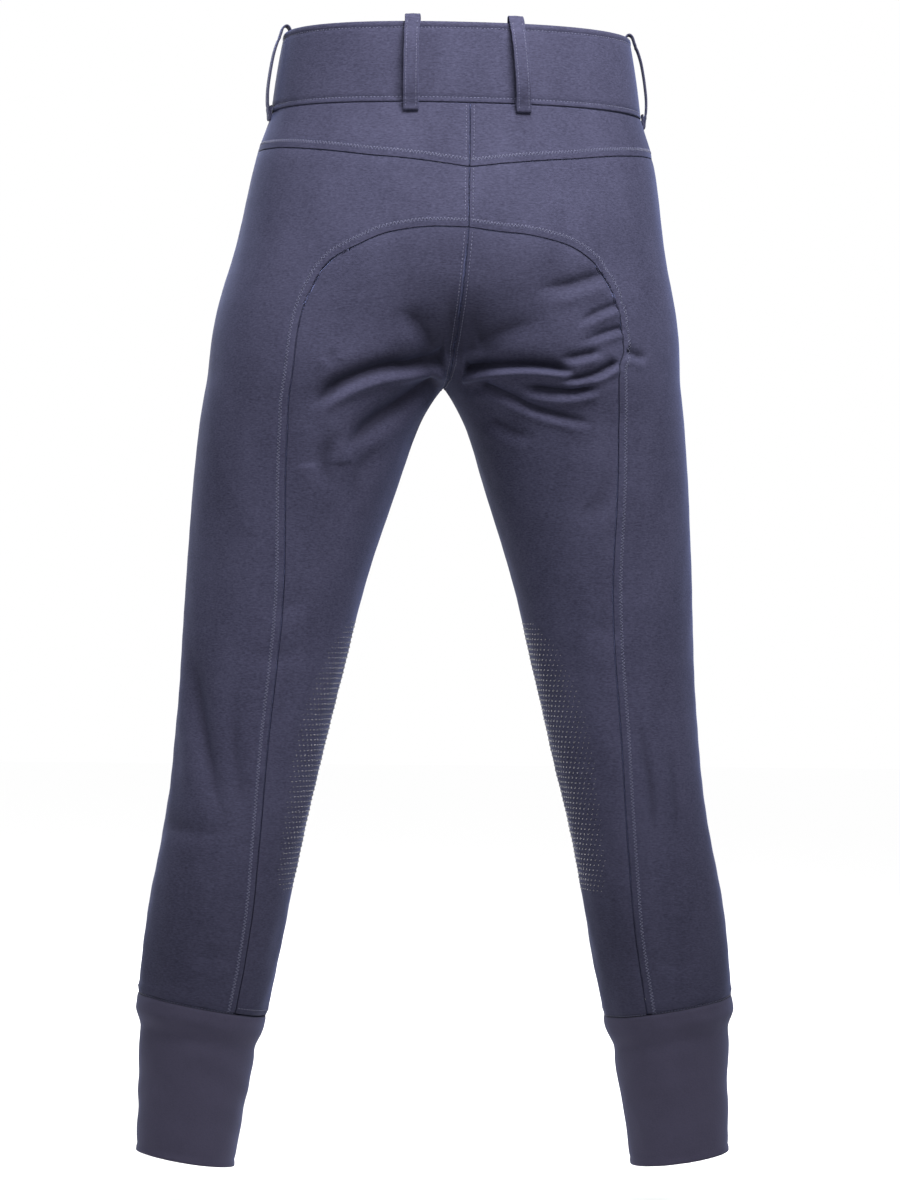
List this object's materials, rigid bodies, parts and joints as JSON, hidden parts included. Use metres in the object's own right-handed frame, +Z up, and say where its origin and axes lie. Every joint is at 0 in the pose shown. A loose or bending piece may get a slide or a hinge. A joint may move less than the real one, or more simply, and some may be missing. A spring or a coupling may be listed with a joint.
{
  "type": "riding breeches",
  "caption": "Stretch riding breeches filled out as worn: wide waistband with belt loops, pointed back yoke, rounded full seat, inner-knee grip print and long knit ankle cuffs.",
  "frame": {"origin": "centre of the waistband's ring at half its height, where the wearer's waist holds the garment", "axes": "+Z up, -Y the wearer's front, +X the wearer's left"},
  "size_m": [0.4928, 0.2383, 0.9382],
  "materials": {
    "body_cloth": "smooth matt stretch twill, slate navy",
    "cuff_knit": "matt fine knit, greyer than the body",
    "zip_tape": "woven tape with small coil teeth",
    "button_metal": "dark plain metal, satin"
  },
  "bodies": {
    "root": {"back_yoke_left": "body_cloth", "side_panel_left": "body_cloth", "seat_panel_left": "body_cloth", "front_panel_left": "body_cloth", "cuff_left": "cuff_knit", "back_yoke_right": "body_cloth", "side_panel_right": "body_cloth", "seat_panel_right": "body_cloth", "front_panel_right": "body_cloth", "cuff_right": "cuff_knit", "waistband": "body_cloth", "belt_loop_back_left": "body_cloth", "belt_loop_back_right": "body_cloth", "belt_loop_side_left": "body_cloth", "belt_loop_side_right": "body_cloth", "belt_loop_front_left": "body_cloth", "belt_loop_front_right": "body_cloth", "fly_zip": "zip_tape", "waist_button_upper": "button_metal", "waist_button_lower": "button_metal"}
  },
  "joints": []
}
